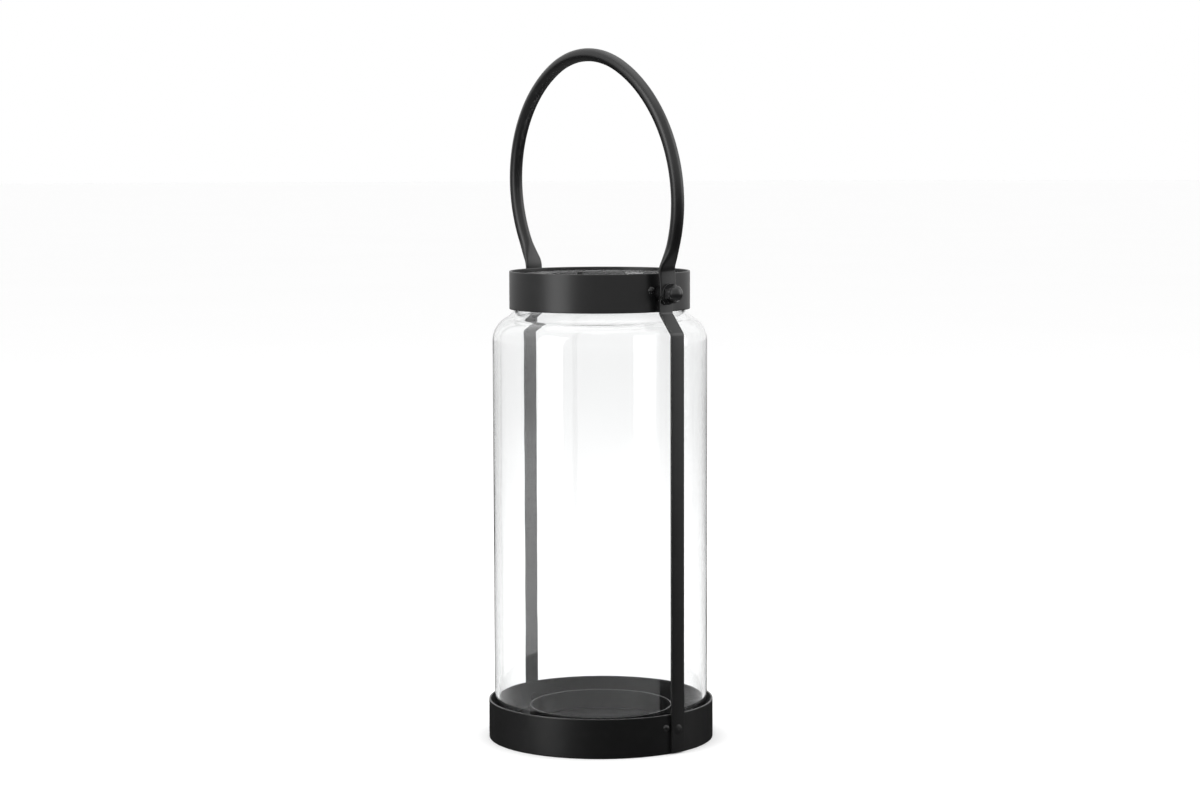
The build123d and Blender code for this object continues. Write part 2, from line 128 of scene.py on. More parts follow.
class LanternHandleSizes(bpy.types.PropertyGroup):
    """Sizes of the swinging handle and its pivot hardware."""
    tube: length("Tube radius", "Outside radius of the tube", 4.0 * MM)
    side_offset: length("Side offset", "Centre of each side's curve beyond the middle", 10.4 * MM)
    crown: turn("Crown half angle", "Tighter curve each side of the top", 28.2)
    tab_bend: length("Tab bend", "Radius where a leg turns down into its tab", 10.0 * MM)
    tab_rise: length("Tab rise", "Straight tab above the pivot", 12.8 * MM)
    tab_drop: length("Tab drop", "Tab below the pivot", 7.0 * MM)
    tab_width: length("Tab width", "Width of the flattened end", 12.6 * MM)
    tab_thick: length("Tab thickness", "Thickness of the flattened end", 2.2 * MM)
    flatten: length("Flattened length", "Tube from round to the start of the bend", 13.0 * MM)
    lean: turn("Lean", "How far the handle leans from upright at rest", 4.0)
    washer_bore: length("Washer bore", "Radius of the washer's hole", 3.0 * MM)
    nut_flats: length("Nut across flats", "Width of the cap nut's hexagon", 10.0 * MM)
    nut_height: length("Nut height", "Height of the hexagon", 4.5 * MM)
    nut_neck: length("Nut neck", "Short cylinder under the dome", 1.0 * MM)
    nut_step: length("Nut step", "Dome's foot in from the flats", 0.2 * MM)
    nut_fillet: length("Nut fillet", "Blend from the hexagon into the neck", 0.1 * MM)


class LanternFinish(bpy.types.PropertyGroup):
    """Colours and surfaces of the metal and the glass."""
    metal: colour("Powder coat", "Colour of the sheet metal and the handle", (0.0032, 0.0032, 0.0034))
    worn: colour("Rubbed powder coat", "Colour of the coat where it is a little rubbed",
                 (0.0085, 0.0084, 0.0086))
    metal_roughness: share("Powder coat roughness", "Roughness of the sheet metal and the handle", 0.34)
    hardware: colour("Hardware", "Colour of the nuts, washers and rivets", (0.0045, 0.0045, 0.0048))
    hardware_roughness: share("Hardware roughness", "Roughness of nuts, washers and rivets", 0.27)
    glass: colour("Glass", "Colour of light that has crossed much glass", (0.795, 0.81, 0.812))
    glass_density: FloatProperty(name="Glass density", description="How strongly the glass takes its colour",
                                 default=70.0, min=0.0)


class LanternStudio(bpy.types.PropertyGroup):
    """The floor, the lights and the camera."""
    floor: colour("Floor", "Colour of the floor", (0.985, 0.985, 0.985))
    camera_turn: turn("Camera turn", "Where the camera stands, round from the front", 49.0)
    camera_distance: length("Camera distance", "From the lantern's middle line", 1.6839)
    camera_height: length("Camera height", "Above the floor", 0.3658)
    camera_tilt: turn("Camera tilt", "How far the camera looks down", 5.255)
    camera_roll: turn("Camera roll", "How far the camera leans to its side", -0.18)
    lens: FloatProperty(name="Lens", description="Focal length in millimetres", default=81.7, min=1.0)
    left_power: FloatProperty(name="Left light", description="Power of the left softbox", default=11.0,
                              unit="POWER")
    right_power: FloatProperty(name="Right light", description="Power of the right softbox", default=7.0,
                               unit="POWER")
    top_power: FloatProperty(name="Top light", description="Power of the softbox overhead", default=9.0,
                             unit="POWER")
    sky: FloatProperty(name="Surroundings", description="Brightness of the white room", default=1.0)


GROUPS = {"lantern_sheet": LanternSheetSizes, "lantern_jar": LanternJarSizes,
          "lantern_handle": LanternHandleSizes, "lantern_finish": LanternFinish,
          "lantern_studio": LanternStudio}


# --- Shader maths -----------------------------------------------------------------------
class Value:
    """What comes out of a node. Arithmetic on it adds Math nodes to its tree."""

    def __init__(self, nodes, socket):
        self.nodes = nodes
        self.socket = socket

    def maths(self, operation, first, second):
        return self.nodes.add("ShaderNodeMath", {"operation": operation}, {0: first, 1: second})

    def __add__(self, other):
        return self.maths("ADD", self, other)

    def __sub__(self, other):
        return self.maths("SUBTRACT", self, other)

    def __rsub__(self, other):
        return self.maths("SUBTRACT", other, self)

    def __mul__(self, other):
        return self.maths("MULTIPLY", self, other)

    __radd__ = __add__
    __rmul__ = __mul__


class Nodes:
    """The node tree of a material or a world."""

    def __init__(self, owner):
        owner.use_nodes = True
        self.tree = owner.node_tree
        self.tree.nodes.clear()

    def add(self, kind, settings=None, inputs=None, output=0):
        """Adds a node: its settings first, then the values or links of its sockets."""
        node = self.tree.nodes.new(kind)
        for name, value in (settings or {}).items():
            if name == "stops":
                self.set_stops(node.color_ramp, value)
            else:
                setattr(node, name, value)
        for name, value in (inputs or {}).items():
            if isinstance(value, Value):
                self.tree.links.new(value.socket, node.inputs[name])
            else:
                node.inputs[name].default_value = value
        return Value(self, node.outputs[output]) if node.outputs else None

    @staticmethod
    def set_stops(ramp, stops):
        while len(ramp.elements) < len(stops):
            ramp.elements.new(1.0)
        for element, (place, grey) in zip(ramp.elements, stops):
            element.position = place
            element.color = (grey, grey, grey, 1.0)

    def place(self):
        """Where a point is on the lantern, in metres."""
        return self.add("ShaderNodeTexCoord", output="Object")

    def noise(self, vector, size, detail=2.0, roughness=0.5):
        """Soft cloudy noise from 0 to 1, whose spots are about this size in metres."""
        return self.add("ShaderNodeTexNoise", {}, {"Vector": vector, "Scale": 1 / size, "Detail": detail,
                                                   "Roughness": roughness})

    def ramp(self, factor, stops):
        """Grey that follows these (place, grey) stops."""
        return self.add("ShaderNodeValToRGB", {"stops": stops}, {"Fac": factor})

    def mix(self, factor, first, second):
        """A colour between two colours."""
        node = self.tree.nodes.new("ShaderNodeMix")
        node.data_type = "RGBA"
        for name, value in (("Factor_Float", factor), ("A_Color", first), ("B_Color", second)):
            socket = next(s for s in node.inputs if s.identifier == name)
            if isinstance(value, Value):
                self.tree.links.new(value.socket, socket)
            else:
                socket.default_value = (*value, 1.0) if name != "Factor_Float" else value
        return Value(self, next(s for s in node.outputs if s.identifier == "Result_Color"))

    def bump(self, height, depth):
        """A bumpy surface normal, this deep in metres."""
        return self.add("ShaderNodeBump", {}, {"Height": height, "Distance": depth})


def powder_coat(finish):
    """Satin black powder coat: fine orange peel, cloudy gloss and a few lighter specks."""
    made = bpy.data.materials.new("satin_powder_coat")
    nodes = Nodes(made)
    place = nodes.place()
    cloud = nodes.noise(place, 42 * MM, 3)
    peel = nodes.noise(place, 1.5 * MM, 2)
    grain = nodes.noise(place, 0.42 * MM, 2, 0.65)
    rubbed = nodes.ramp(nodes.noise(place, 9 * MM, 6, 0.7), [(0.52, 0.0), (0.8, 0.8)])
    specks = nodes.ramp(nodes.noise(place, 0.9 * MM, 1), [(0.74, 0.0), (0.8, 1.0)])
    base = nodes.mix(rubbed * 0.6 + specks * 0.4, finish.metal, finish.worn)
    roughness = finish.metal_roughness - 0.05 + cloud * 0.1 + rubbed * 0.05 + grain * 0.03
    normal = nodes.bump(peel * 0.6 + grain * 0.4, 0.022 * MM)
    shader = nodes.add("ShaderNodeBsdfPrincipled", {}, {
        "Base Color": base, "Roughness": roughness, "Normal": normal, "IOR": 1.5})
    nodes.add("ShaderNodeOutputMaterial", {}, {"Surface": shader})
    return made


def hardware_coat(finish):
    """Black-oxide steel of the nuts, washers, bolts and spacers: smoother, with fine turning marks."""
    made = bpy.data.materials.new("oxide_black_steel")
    nodes = Nodes(made)
    place = nodes.place()
    smudge = nodes.noise(place, 5 * MM, 4, 0.6)
    marks = nodes.noise(nodes.add("ShaderNodeMapping", {}, {"Vector": place, "Scale": (9.0, 1.0, 1.0)}),
                        1.6 * MM, 3)
    dull = nodes.ramp(smudge, [(0.35, 0.0), (0.7, 1.0)])
    base = nodes.mix(dull * 0.5, finish.hardware, finish.worn)
    roughness = finish.hardware_roughness + dull * 0.1 + marks * 0.05
    normal = nodes.bump(marks, 0.012 * MM)
    shader = nodes.add("ShaderNodeBsdfPrincipled", {}, {
        "Base Color": base, "Roughness": roughness, "Normal": normal, "IOR": 1.5})
    nodes.add("ShaderNodeOutputMaterial", {}, {"Surface": shader})
    return made


def clear_glass(finish):
    """Clear soda-lime glass with the faint waviness of a moulded jar."""
    made = bpy.data.materials.new("jar_glass")
    nodes = Nodes(made)
    place = nodes.place()
    flow = nodes.add("ShaderNodeMapping", {}, {"Vector": place, "Scale": (1.0, 1.0, 0.45)})
    wave = nodes.noise(flow, 26 * MM, 2, 0.35)
    haze = nodes.ramp(nodes.noise(place, 18 * MM, 5, 0.65), [(0.55, 0.0), (0.85, 1.0)])
    shader = nodes.add("ShaderNodeBsdfPrincipled", {}, {
        "Base Color": (1.0, 1.0, 1.0, 1.0), "Transmission Weight": 1.0, "IOR": 1.5,
        "Roughness": haze * 0.02, "Normal": nodes.bump(wave, 0.12 * MM)})
    depth = nodes.add("ShaderNodeVolumeAbsorption", {}, {
        "Color": (*finish.glass, 1.0), "Density": finish.glass_density})
    nodes.add("ShaderNodeOutputMaterial", {}, {"Surface": shader, "Volume": depth})
    return made


def studio_floor(studio):
    """Matt white floor with a faint paper grain."""
    made = bpy.data.materials.new("studio_floor")
    nodes = Nodes(made)
    place = nodes.place()
    cloud = nodes.noise(place, 0.6, 3)
    grain = nodes.noise(place, 1.2 * MM, 2)
    pale = [value * 0.985 for value in studio.floor]
    shader = nodes.add("ShaderNodeBsdfPrincipled", {}, {
        "Base Color": nodes.mix(cloud, pale, studio.floor), "Roughness": 0.8,
        "Normal": nodes.bump(grain, 0.02 * MM), "Specular IOR Level": 0.1})
    nodes.add("ShaderNodeOutputMaterial", {}, {"Surface": shader})
    return made


# --- Mesh helpers -----------------------------------------------------------------------
def arc(centre, radius, start, end, steps):
    """Points on an arc of an outline, from one angle to another, in degrees."""
    points = []
    for step in range(steps + 1):
        angle = math.radians(start + (end - start) * step / steps)
        points.append((centre[0] + radius * math.cos(angle), centre[1] + radius * math.sin(angle)))
    return points


def split(start, end, parts):
    """Points along a straight stretch, without its two ends."""
    return [tuple(Vector(start).lerp(Vector(end), step / parts)) for step in range(1, parts)]


def rounded(corners, radius, steps=5):
    """A closed outline with every corner rounded, and a point beside each rounding that keeps it crisp."""
    points = []
    count = len(corners)
    for index, corner in enumerate(corners):
        here = Vector(corner)
        before, after = Vector(corners[index - 1]) - here, Vector(corners[(index + 1) % count]) - here
        halfway = before.length / 2, after.length / 2
        before.normalize()
        after.normalize()
        half = before.angle(after) / 2
        reach = radius / math.tan(half)
        centre = here + (before + after).normalized() * (radius / math.sin(half))
        first, last = here + before * reach, here + after * reach
        points.append(tuple(here + before * min(reach * 2, halfway[0])))
        for step in range(steps + 1):
            way = (first - centre).slerp(last - centre, step / steps).normalized()
            points.append(tuple(centre + way * radius))
        points.append(tuple(here + after * min(reach * 2, halfway[1])))
    return points


def finish_piece(name, vertices, faces, material, body, sharp=SHARP):
    """Makes the object, smooth but for its real edges, and rides it on its body."""
    mesh = bpy.data.meshes.new(name)
    mesh.from_pydata(vertices, [], faces)
    work = bmesh.new()
    work.from_mesh(mesh)
    bmesh.ops.remove_doubles(work, verts=work.verts, dist=0.002 * MM)
    bmesh.ops.recalc_face_normals(work, faces=work.faces)
    work.to_mesh(mesh)
    work.free()
    mesh.shade_smooth()
    mesh.set_sharp_from_angle(angle=math.radians(sharp))
    mesh.materials.append(material)
    piece = bpy.data.objects.new(name, mesh)
    bpy.context.scene.collection.objects.link(piece)
    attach(piece, body)
    return piece


def upright(along, radius, angle):
    """Turned about the lantern's own middle line."""
    return radius * math.cos(angle), radius * math.sin(angle), along


def sideways(height, side):
    """Turned about a line along X at this height, on one side of the lantern."""
    way = -1.0 if side == "left" else 1.0

    def put(along, radius, angle):
        return way * along, way * radius * math.cos(angle), height + radius * math.sin(angle)
    return put


def turned(name, outline, put, material, faces=ROUND, limit=None, sharp=SHARP):
    """A turned piece. Its outline of (along, radius) points closes on itself or starts and ends on the axis.
    The limit, a function of the angle, cuts flats into it."""
    solid = outline[0][1] < SMALL
    vertices, rings, quads = [], [], []
    for along, radius in outline:
        if radius < SMALL:
            rings.append([len(vertices)] * faces)
            vertices.append(put(along, 0.0, 0.0))
            continue
        rings.append(list(range(len(vertices), len(vertices) + faces)))
        for step in range(faces):
            angle = 2 * math.pi * step / faces
            kept = min(radius, limit(angle)) if limit else radius
            vertices.append(put(along, kept, angle))
    pairs = list(zip(rings, rings[1:])) + ([] if solid else [(rings[-1], rings[0])])
    for lower, upper in pairs:
        for step in range(faces):
            after = (step + 1) % faces
            face = [lower[step], lower[after], upper[after], upper[step]]
            face = [v for place, v in enumerate(face) if v not in face[:place]]
            quads.append(face)
    return finish_piece(name, vertices, quads, material, LANTERN, sharp)


def band(name, node, wall, edge):
    """A plain rolled band, as wide and as high as the CAD node that it replaces."""
    low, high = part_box(node)
    corners = [(low.z, high.x - wall), (low.z, high.x), (high.z, high.x), (high.z, high.x - wall)]
    piece = turned(name, rounded(corners, edge), upright, coat())
    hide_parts(node)


def section(half_width, half_thick, edge, steps=6):
    """Points round a rounded rectangle, as (across, out)."""
    edge = min(edge, half_width, half_thick)
    points = []
    for corner, (across, out) in enumerate(((1, 1), (-1, 1), (-1, -1), (1, -1))):
        centre = (across * (half_width - edge), out * (half_thick - edge))
        points += arc(centre, edge, corner * 90, corner * 90 + 90, steps)
    return points


def ribbon(name, stations, put, material, body):
    """A bent strip or tube. A station is (x, z, angle of its run, half width, half thickness, edge)."""
    vertices, faces, loops = [], [], []
    for x, z, run, half_width, half_thick, edge in stations:
        loop = []
        for across, out in section(half_width, half_thick, edge):
            loop.append(len(vertices))
            vertices.append(put(x + out * math.sin(run), across, z - out * math.cos(run)))
        loops.append(loop)
    count = len(loops[0])
    for lower, upper in zip(loops, loops[1:]):
        for step in range(count):
            after = (step + 1) % count
            faces.append([lower[step], lower[after], upper[after], upper[step]])
    faces += [loops[0][::-1], loops[-1]]
    return finish_piece(name, vertices, faces, material, body)


def keep(node, material):
    """A CAD piece that stays as it is, in its finish and with the doubled points of its mesh welded."""
    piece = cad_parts[node]
    piece.data.materials.clear()
    piece.data.materials.append(material)
    piece.modifiers.new("weld", "WELD").merge_threshold = 0.001 * MM


def finish_named(name, maker):
    """The material of this name, made the first time it is asked for."""
    return bpy.data.materials.get(name) or maker(bpy.context.scene.lantern_finish)


def coat():
    return finish_named("satin_powder_coat", powder_coat)


def hardware():
    return finish_named("oxide_black_steel", hardware_coat)


# --- Base -------------------------------------------------------------------------------
class LANTERN_OT_base(bpy.types.Operator):
    """Rolled rim and pressed floor of the base"""
    bl_idname = "lantern.base"
    bl_label = "Base"

    def execute(self, context):
        sizes = context.scene.lantern_sheet
        band("rim", "base_rim", sizes.band_wall, sizes.band_edge)
        self.floor(sizes)
        return {"FINISHED"}

    @staticmethod
    def floor(sizes):
        """Out over the top, down the skirt and back to the middle underneath, as (height, radius)."""
        inside = RIM_RADIUS - sizes.band_wall
        bend, sheet, parts = sizes.floor_bend, sizes.floor_sheet, 6
        centre, underside = (inside - bend, FLOOR_TOP - bend), FLOOR_TOP - sheet
        outline = [(FLOOR_TOP, inside * part / parts) for part in range(parts)]
        outline += [(z, r) for r, z in arc(centre, bend, 90, 0, 6)]
        outline += [(FLOOR_FOOT, inside), (FLOOR_FOOT, inside - sheet)]
        outline += [(z, r) for r, z in arc(centre, bend - sheet, 0, 90, 3)]
        outline += [(underside, inside * part / parts) for part in reversed(range(parts))]
        floor = turned("floor_pan", outline, upright, coat())
        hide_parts("base_floor")


class LANTERN_OT_candle_ring(bpy.types.Operator):
    """Low ring that keeps the candle in the middle"""
    bl_idname = "lantern.candle_ring"
    bl_label = "Candle ring"

    def execute(self, context):
        wall = context.scene.lantern_sheet.ring_wall
        band("candle_cup", "candle_ring", wall, wall / 3)
        return {"FINISHED"}


class LANTERN_OT_jar(bpy.types.Operator):
    """Glass jar, open at both ends, with its shoulder and neck"""
    bl_idname = "lantern.jar"
    bl_label = "Glass jar"

    def execute(self, context):
        low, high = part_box("glass_body")
        glass = finish_named("jar_glass", clear_glass)
        outline = self.outline(context.scene.lantern_jar, low.z, high.z, high.x)
        jar = turned("jar", outline, upright, glass, sharp=60.0)
        jar.visible_shadow = False             # clear glass hardly dims the floor
        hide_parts("glass_body")
        return {"FINISHED"}

    @staticmethod
    def outline(sizes, foot, lip, radius):
        """Up the outside, over the lip, down the inside and round the foot, as (height, radius)."""
        mid, wall = sizes.wall / 2, sizes.wall
        turn_degrees = math.degrees(sizes.shoulder_turn)
        shoulder = (radius - sizes.shoulder, foot + sizes.straight)
        neck = radius - sizes.neck_inset
        start = (shoulder[0] + sizes.shoulder * math.cos(sizes.shoulder_turn),
                 shoulder[1] + sizes.shoulder * math.sin(sizes.shoulder_turn))
        sweep = (start[0] - neck) / (1 - math.cos(sizes.shoulder_turn))
        sweep_centre = (neck + sweep, start[1] + sweep * math.sin(sizes.shoulder_turn))
        rings = 2 * math.pi / sizes.ripple_pitch

        def side(inset):
            """The outside, or the inside when inset is the wall."""
            points = [(radius - inset, foot + mid)]
            points += split((radius - inset, foot + mid), (radius - inset, shoulder[1]), 24)
            points += arc(shoulder, sizes.shoulder - inset, 0, turn_degrees, 20)
            points += arc(sweep_centre, sweep + inset, 180 + turn_degrees, 180, 14)[1:]
            points += split((neck - inset, sweep_centre[1]), (neck - inset, lip - mid), 5)
            points += [(neck - inset, lip - mid)]
            return points

        outside = []
        for r, z in side(0.0):
            inner = max(0.0, min(1.0, (radius - r) / sizes.shoulder))
            outside.append((r - sizes.ripple * inner * (1 + math.sin(rings * (z + r))), z))
        top = arc((neck - mid, lip - mid), mid, 0, 180, 10)[1:-1]
        bottom = arc((radius - mid, foot + mid), mid, 180, 360, 10)[1:-1]
        return [(z, r) for r, z in outside + top + side(wall)[::-1] + bottom]


class LANTERN_OT_collar(bpy.types.Operator):
    """Rolled collar round the jar's neck"""
    bl_idname = "lantern.collar"
    bl_label = "Collar"

    def execute(self, context):
        sizes = context.scene.lantern_sheet
        band("collar", "collar_band", sizes.band_wall, sizes.band_edge)
        return {"FINISHED"}


class LANTERN_OT_straps(bpy.types.Operator):
    """Flat straps from the base to the pivots"""
    bl_idname = "lantern.straps"
    bl_label = "Straps"

    def execute(self, context):
        sizes = context.scene.lantern_sheet
        for side, angle in SIDES.items():
            way = math.cos(angle)
            strap = ribbon("strap_band_" + side, self.stations(sizes),
                           lambda x, y, z, way=way: (way * x, way * y, z), coat(), LANTERN)
            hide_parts("strap_" + side)
        return {"FINISHED"}

    @staticmethod
    def stations(sizes):
        """Up the rim and the jar, in over the shoulder and up past the pivot, with a rounded top."""
        half, half_width, edge = STRAP_SHEET / 2, STRAP_WIDTH / 2, sizes.strap_edge
        low_x, high_x = RIM_RADIUS + half, STRAP_TOP_IN + half
        upper = PIVOT_Z - sizes.kink_drop
        lower = upper - sizes.kink_rise
        slant = math.atan2(low_x - high_x, sizes.kink_rise)
        reach = sizes.strap_bend * math.tan(slant / 2)
        foot = lowest("strap_right").z
        square = (half_width, half, edge)
        up, degrees = math.pi / 2, math.degrees(slant)
        straight_parts, kink_steps = 24, 8
        stations = [(low_x, foot, up, half_width - edge, half - edge, edge),
                    (low_x, foot + edge, up, *square)]
        for part in range(1, straight_parts):
            stations.append((low_x, foot + (lower - reach - foot) * part / straight_parts, up, *square))
        lower_kink = arc((low_x - sizes.strap_bend, lower - reach), sizes.strap_bend, 0, degrees, kink_steps)
        for step, (x, z) in enumerate(lower_kink):
            stations.append((x, z, up + slant * step / kink_steps, *square))
        upper_kink = arc((high_x + sizes.strap_bend, upper + reach), sizes.strap_bend, 180 + degrees, 180,
                         kink_steps)
        for step, (x, z) in enumerate(upper_kink):
            stations.append((x, z, up + slant * (1 - step / kink_steps), *square))
        stations += [(high_x, PIVOT_Z - half_width * part / 3, up, *square) for part in (2, 1)]
        for step in range(TIP_STEPS + 1):
            angle = TIP_TURN * step / TIP_STEPS
            width, rise = half_width * math.cos(angle), half_width * math.sin(angle)
            stations.append((high_x, PIVOT_Z + rise, up, width, half, edge))
        return stations


class LANTERN_OT_seams(bpy.types.Operator):
    """Seam plates and rivets that close the rim and the collar"""
    bl_idname = "lantern.seams"
    bl_label = "Seams and rivets"

    def execute(self, context):
        for node in ("rim_seam_plate", "collar_seam_plate", "rim_seam_rivet", "collar_seam_rivet",
                     "rim_rivet_right", "rim_rivet_left"):
            keep(node, coat())
        return {"FINISHED"}


class LANTERN_OT_pivots(bpy.types.Operator):
    """Bolts, spacers, washers and cap nuts that the handle turns on"""
    bl_idname = "lantern.pivots"
    bl_label = "Pivot hardware"

    def execute(self, context):
        sizes = context.scene.lantern_handle
        for side in SIDES:
            keep("pivot_bolt_" + side, hardware())
            keep("spacer_" + side, hardware())
            self.washer(side, sizes)
            self.cap_nut(side, sizes)
        return {"FINISHED"}

    @staticmethod
    def washer(side, sizes):
        """Flat ring with rounded edges."""
        low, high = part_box("washer_right")
        bore, edge = sizes.washer_bore, (high.x - low.x) / 4
        corners = [(low.x, bore), (high.x, bore), (high.x, high.y), (low.x, high.y)]
        piece = turned("washer_disc_" + side, rounded(corners, edge, 4), sideways(PIVOT_Z, side), hardware(),
                       ROUND_SMALL)
        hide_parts("washer_" + side)

    @staticmethod
    def cap_nut(side, sizes):
        """Chamfered hexagon, short neck and dome."""
        low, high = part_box("cap_nut_right")
        flat, start, tip = sizes.nut_flats / 2, low.x, high.x
        corner = flat / math.cos(math.pi / 6)
        end, chamfer = start + sizes.nut_height, (corner - flat) / 2
        soft = chamfer / 10                    # where the chamfer rounds into a face
        bearing, crest = flat * 0.97, flat * 0.985
        foot, fillet = flat - sizes.nut_step, sizes.nut_fillet
        neck = end + sizes.nut_neck
        rise = tip - neck
        ball = (foot ** 2 + rise ** 2) / (2 * rise)
        spread = math.degrees(math.asin(foot / ball))
        outline = [(start, 0.0), (start, bearing), (start + soft, flat), (start + chamfer, corner),
                   (end - chamfer, corner), (end - soft, flat), (end, crest), (end, foot + fillet),
                   (end + fillet, foot), (neck, foot)]
        outline += arc((tip - ball, 0.0), ball, spread, 0, 12)[1:-1] + [(tip, 0.0)]

        def hexagon(angle):
            """From the middle out to the flats at this angle."""
            sixth = math.pi / 3
            return flat / math.cos((angle + sixth / 2) % sixth - sixth / 2)

        piece = turned("nut_" + side, outline, sideways(PIVOT_Z, side), hardware(), ROUND_SMALL, hexagon,
                       sharp=22.0)
        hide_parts("cap_nut_" + side)


class LANTERN_OT_handle(bpy.types.Operator):
    """Arched tube handle with flattened ends, which swings on the pivots"""
    bl_idname = "lantern.handle"
    bl_label = "Handle"

    def execute(self, context):
        sizes = context.scene.lantern_handle
        right = self.half(sizes)
        left = [(-x, z, -run, width, thick, edge) for x, z, run, width, thick, edge in right]
        cosine, sine = math.cos(sizes.lean), math.sin(sizes.lean)

        def lean(x, y, z):
            """Tilts a point about the line through the pivots."""
            return x, y * cosine - z * sine, PIVOT_Z + y * sine + z * cosine

        handle = ribbon("handle_tube", right + left[::-1][1:], lean, coat(), HANDLE)
        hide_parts("handle")
        return {"FINISHED"}

    @staticmethod
    def half(sizes):
        """Right-hand half, from the tab's lower end up to the crown, heights from the pivot."""
        tab_width, tab_thick = sizes.tab_width / 2, sizes.tab_thick / 2
        reach = highest("handle").x - sizes.tube
        radius = reach + sizes.side_offset
        across = TAB_MID + sizes.tab_bend + sizes.side_offset
        down = math.sqrt((radius + sizes.tab_bend) ** 2 - across ** 2)
        leg = math.atan2(down, across)
        side_z = sizes.tab_rise + down
        crown_radius = radius - sizes.side_offset / math.sin(sizes.crown)
        crown_z = side_z + sizes.side_offset / math.tan(sizes.crown)
        pressed = sizes.tab_bend * leg + sizes.flatten

        def shape(travel):
            """Half width and half thickness this far up from the top of the tab."""
            left = 1 - min(travel / pressed, 1.0)
            flat = left * left * (3 - 2 * left)
            width = sizes.tube + (tab_width - sizes.tube) * flat
            thick = sizes.tube + (tab_thick - sizes.tube) * flat
            return width, thick, thick

        up, tab_low = math.pi / 2, tab_width - sizes.tab_drop
        tab_parts, bend_steps, side_steps, crown_steps = 4, 8, 64, 24
        stations = []
        for step in range(TIP_STEPS + 1):
            angle = TIP_TURN * (1 - step / TIP_STEPS)
            z, width = tab_low - tab_width * math.sin(angle), tab_width * math.cos(angle)
            stations.append((TAB_MID, z, up, width, tab_thick, tab_thick))
        for part in range(1, tab_parts + 1):
            z = tab_low + (sizes.tab_rise - tab_low) * part / tab_parts
            stations.append((TAB_MID, z, up, tab_width, tab_thick, tab_thick))
        bend = (TAB_MID + sizes.tab_bend, sizes.tab_rise)
        for step in range(1, bend_steps + 1):
            angle = leg * step / bend_steps
            x, z = bend[0] - sizes.tab_bend * math.cos(angle), bend[1] + sizes.tab_bend * math.sin(angle)
            stations.append((x, z, up - angle, *shape(sizes.tab_bend * angle)))
        shoulder = sizes.crown - up
        for step in range(1, side_steps + 1):
            angle = leg + (shoulder - leg) * step / side_steps
            travel = sizes.tab_bend * leg + radius * (leg - angle)
            x, z = radius * math.cos(angle) - sizes.side_offset, side_z - radius * math.sin(angle)
            stations.append((x, z, up - angle, *shape(travel)))
        for step in range(1, crown_steps + 1):
            angle = shoulder - sizes.crown * step / crown_steps
            x, z = crown_radius * math.cos(angle), crown_z - crown_radius * math.sin(angle)
            stations.append((x, z, up - angle, sizes.tube, sizes.tube, sizes.tube))
        return stations


ROOM_SHADE = ((0.0, 0.4), (0.25, 0.12), (0.36, 0.0), (0.45, 0.01), (0.49, 1.0))
# A softbox's turn from the camera in degrees, distance, height, width and height of its face.
SIDE_SOFTBOXES = {"softbox_left": (-54.0, 1.5, 0.55, 0.8, 1.4), "softbox_right": (92.0, 1.6, 0.8, 0.9, 1.4)}
TOP_SOFTBOX_Z, TOP_SOFTBOX_SIDE = 1.7, 1.6
AIM_Z = 0.2                                    # the height that the softboxes face


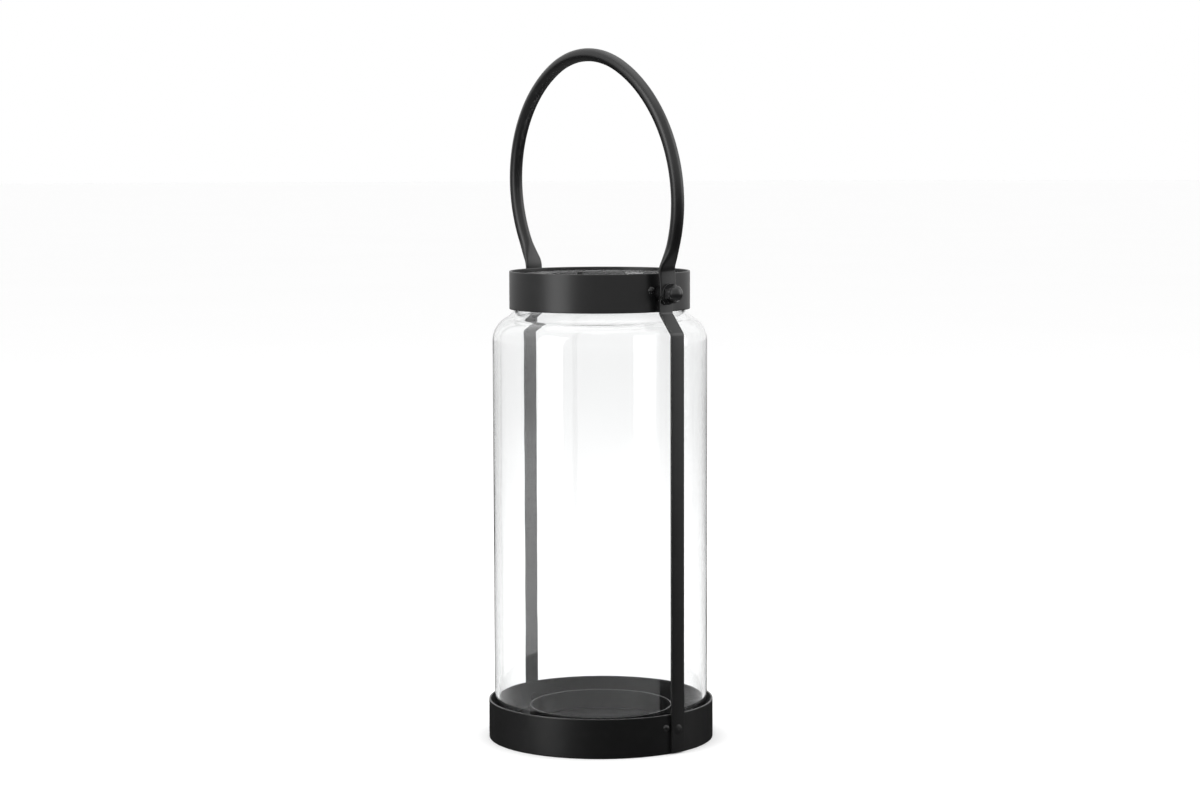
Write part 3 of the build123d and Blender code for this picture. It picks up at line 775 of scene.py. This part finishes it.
class LANTERN_OT_stage(bpy.types.Operator):
    """Pale floor, soft lights and the camera"""
    bl_idname = "lantern.stage"
    bl_label = "Stage"

    def execute(self, context):
        studio = context.scene.lantern_studio
        self.floor(studio)
        self.room(context.scene, studio)
        self.lights(studio)
        self.camera(context.scene, studio)
        context.scene.view_settings.view_transform = "Standard"
        return {"FINISHED"}

    @staticmethod
    def floor(studio):
        """A wide round floor, just below the lantern's foot, that the metal doesn't reflect."""
        sides, drop, rings = 96, 0.05 * MM, (0.5, 2.0, 8.0, 30.0)
        vertices = [(0.0, 0.0, -drop)]
        for radius in rings:
            for step in range(sides):
                angle = 2 * math.pi * step / sides
                vertices.append((radius * math.cos(angle), radius * math.sin(angle), -drop))
        faces = [(0, 1 + step, 1 + (step + 1) % sides) for step in range(sides)]
        for ring in range(len(rings) - 1):
            near, far = 1 + ring * sides, 1 + (ring + 1) * sides
            for step in range(sides):
                after = (step + 1) % sides
                faces.append((near + step, far + step, far + after, near + after))
        mesh = bpy.data.meshes.new("studio_floor")
        mesh.from_pydata(vertices, [], faces)
        mesh.materials.append(studio_floor(studio))
        floor = bpy.data.objects.new("studio_floor", mesh)
        bpy.context.scene.collection.objects.link(floor)
        floor.visible_glossy = False

    @staticmethod
    def room(scene, studio):
        """A white room, black just below the horizon, so that the metal keeps its depth."""
        world = bpy.data.worlds.new("white_room")
        scene.world = world
        nodes = Nodes(world)
        way = nodes.add("ShaderNodeTexCoord", output="Generated")
        height = nodes.add("ShaderNodeSeparateXYZ", {}, {"Vector": way}, output="Z")
        shade = nodes.ramp(height * 0.5 + 0.5, ROOM_SHADE)
        back = nodes.add("ShaderNodeBackground", {}, {"Color": shade, "Strength": studio.sky})
        nodes.add("ShaderNodeOutputWorld", {}, {"Surface": back})

    @staticmethod
    def lights(studio):
        """Softboxes left and right of the camera and overhead, and the card in front."""
        powers = {"softbox_left": studio.left_power, "softbox_right": studio.right_power}
        for name, (degrees, distance, height, *size) in SIDE_SOFTBOXES.items():
            x, y = around(studio.camera_turn + math.radians(degrees), distance)
            softbox(name, Vector((x, y, height)), size, powers[name])
        side = TOP_SOFTBOX_SIDE
        softbox("softbox_top", Vector((0.0, 0.0, TOP_SOFTBOX_Z)), (side, side), studio.top_power)
        low_card(studio.camera_turn)

    @staticmethod
    def camera(scene, studio):
        data = bpy.data.cameras.new("camera")
        data.lens = studio.lens
        camera = bpy.data.objects.new("camera", data)
        scene.collection.objects.link(camera)
        camera.location = (*around(studio.camera_turn, studio.camera_distance), studio.camera_height)
        facing = (Matrix.Rotation(studio.camera_turn, 3, "Z")
                  @ Matrix.Rotation(math.pi / 2 - studio.camera_tilt, 3, "X")
                  @ Matrix.Rotation(studio.camera_roll, 3, "Z"))
        camera.rotation_euler = facing.to_euler()
        scene.camera = camera


def around(angle, distance):
    """A place on the floor: an angle round from the lantern's front, and a distance from its middle."""
    return math.sin(angle) * distance, -math.cos(angle) * distance


def softbox(name, place, size, power):
    """A rectangular light that faces the lantern."""
    data = bpy.data.lights.new(name, "AREA")
    data.shape, data.size, data.size_y, data.energy = "RECTANGLE", *size, power
    light = bpy.data.objects.new(name, data)
    bpy.context.scene.collection.objects.link(light)
    light.location = place
    aim = Vector((0.0, 0.0, AIM_Z)) - place
    light.rotation_euler = aim.to_track_quat("-Z", "Y").to_euler()


def low_card(turn_of):
    """A low black card in front, seen only in reflections, that keeps the foot of the lantern dark."""
    distance, low, high, parts = 0.42, -0.12, 0.16, 12
    start, end = -24.0, 74.0                   # degrees round from the camera
    vertices, faces = [], []
    for part in range(parts + 1):
        place = around(turn_of + math.radians(start + (end - start) * part / parts), distance)
        vertices += [(*place, low), (*place, high)]
    for part in range(parts):
        faces.append((2 * part, 2 * part + 2, 2 * part + 3, 2 * part + 1))
    mesh = bpy.data.meshes.new("low_card")
    mesh.from_pydata(vertices, [], faces)
    material = bpy.data.materials.new("card_black")
    nodes = Nodes(material)
    dark = nodes.add("ShaderNodeEmission", {}, {"Strength": 0.0})
    nodes.add("ShaderNodeOutputMaterial", {}, {"Surface": dark})
    mesh.materials.append(material)
    card = bpy.data.objects.new("low_card", mesh)
    bpy.context.scene.collection.objects.link(card)
    card.visible_camera = card.visible_diffuse = card.visible_transmission = False
    card.visible_shadow = card.visible_volume_scatter = False


OPERATORS = (LANTERN_OT_base, LANTERN_OT_candle_ring, LANTERN_OT_jar, LANTERN_OT_collar, LANTERN_OT_straps,
             LANTERN_OT_seams, LANTERN_OT_pivots, LANTERN_OT_handle, LANTERN_OT_stage)


class LANTERN_PT_panel(bpy.types.Panel):
    """The lantern's pieces, one button each"""
    bl_idname = "LANTERN_PT_panel"
    bl_label = "Candle lantern"
    bl_space_type = "VIEW_3D"
    bl_region_type = "UI"
    bl_category = "Lantern"

    def draw(self, context):
        for operator in OPERATORS:
            self.layout.operator(operator.bl_idname)
        for group in GROUPS:
            box = self.layout.box()
            settings = getattr(context.scene, group)
            for name in settings.__annotations__:
                box.prop(settings, name)


CLASSES = (*GROUPS.values(), *OPERATORS, LANTERN_PT_panel)


def register():
    for kind in CLASSES:
        bpy.utils.register_class(kind)
    for name, group in GROUPS.items():
        setattr(bpy.types.Scene, name, PointerProperty(type=group))


def unregister():
    for name in GROUPS:
        delattr(bpy.types.Scene, name)
    for kind in reversed(CLASSES):
        bpy.utils.unregister_class(kind)


def main():
    register()
    bpy.ops.lantern.base()
    bpy.ops.lantern.candle_ring()
    bpy.ops.lantern.jar()
    bpy.ops.lantern.collar()
    bpy.ops.lantern.straps()
    bpy.ops.lantern.seams()
    bpy.ops.lantern.pivots()
    bpy.ops.lantern.handle()
    bpy.ops.lantern.stage()


if __name__ == "__main__":
    main()
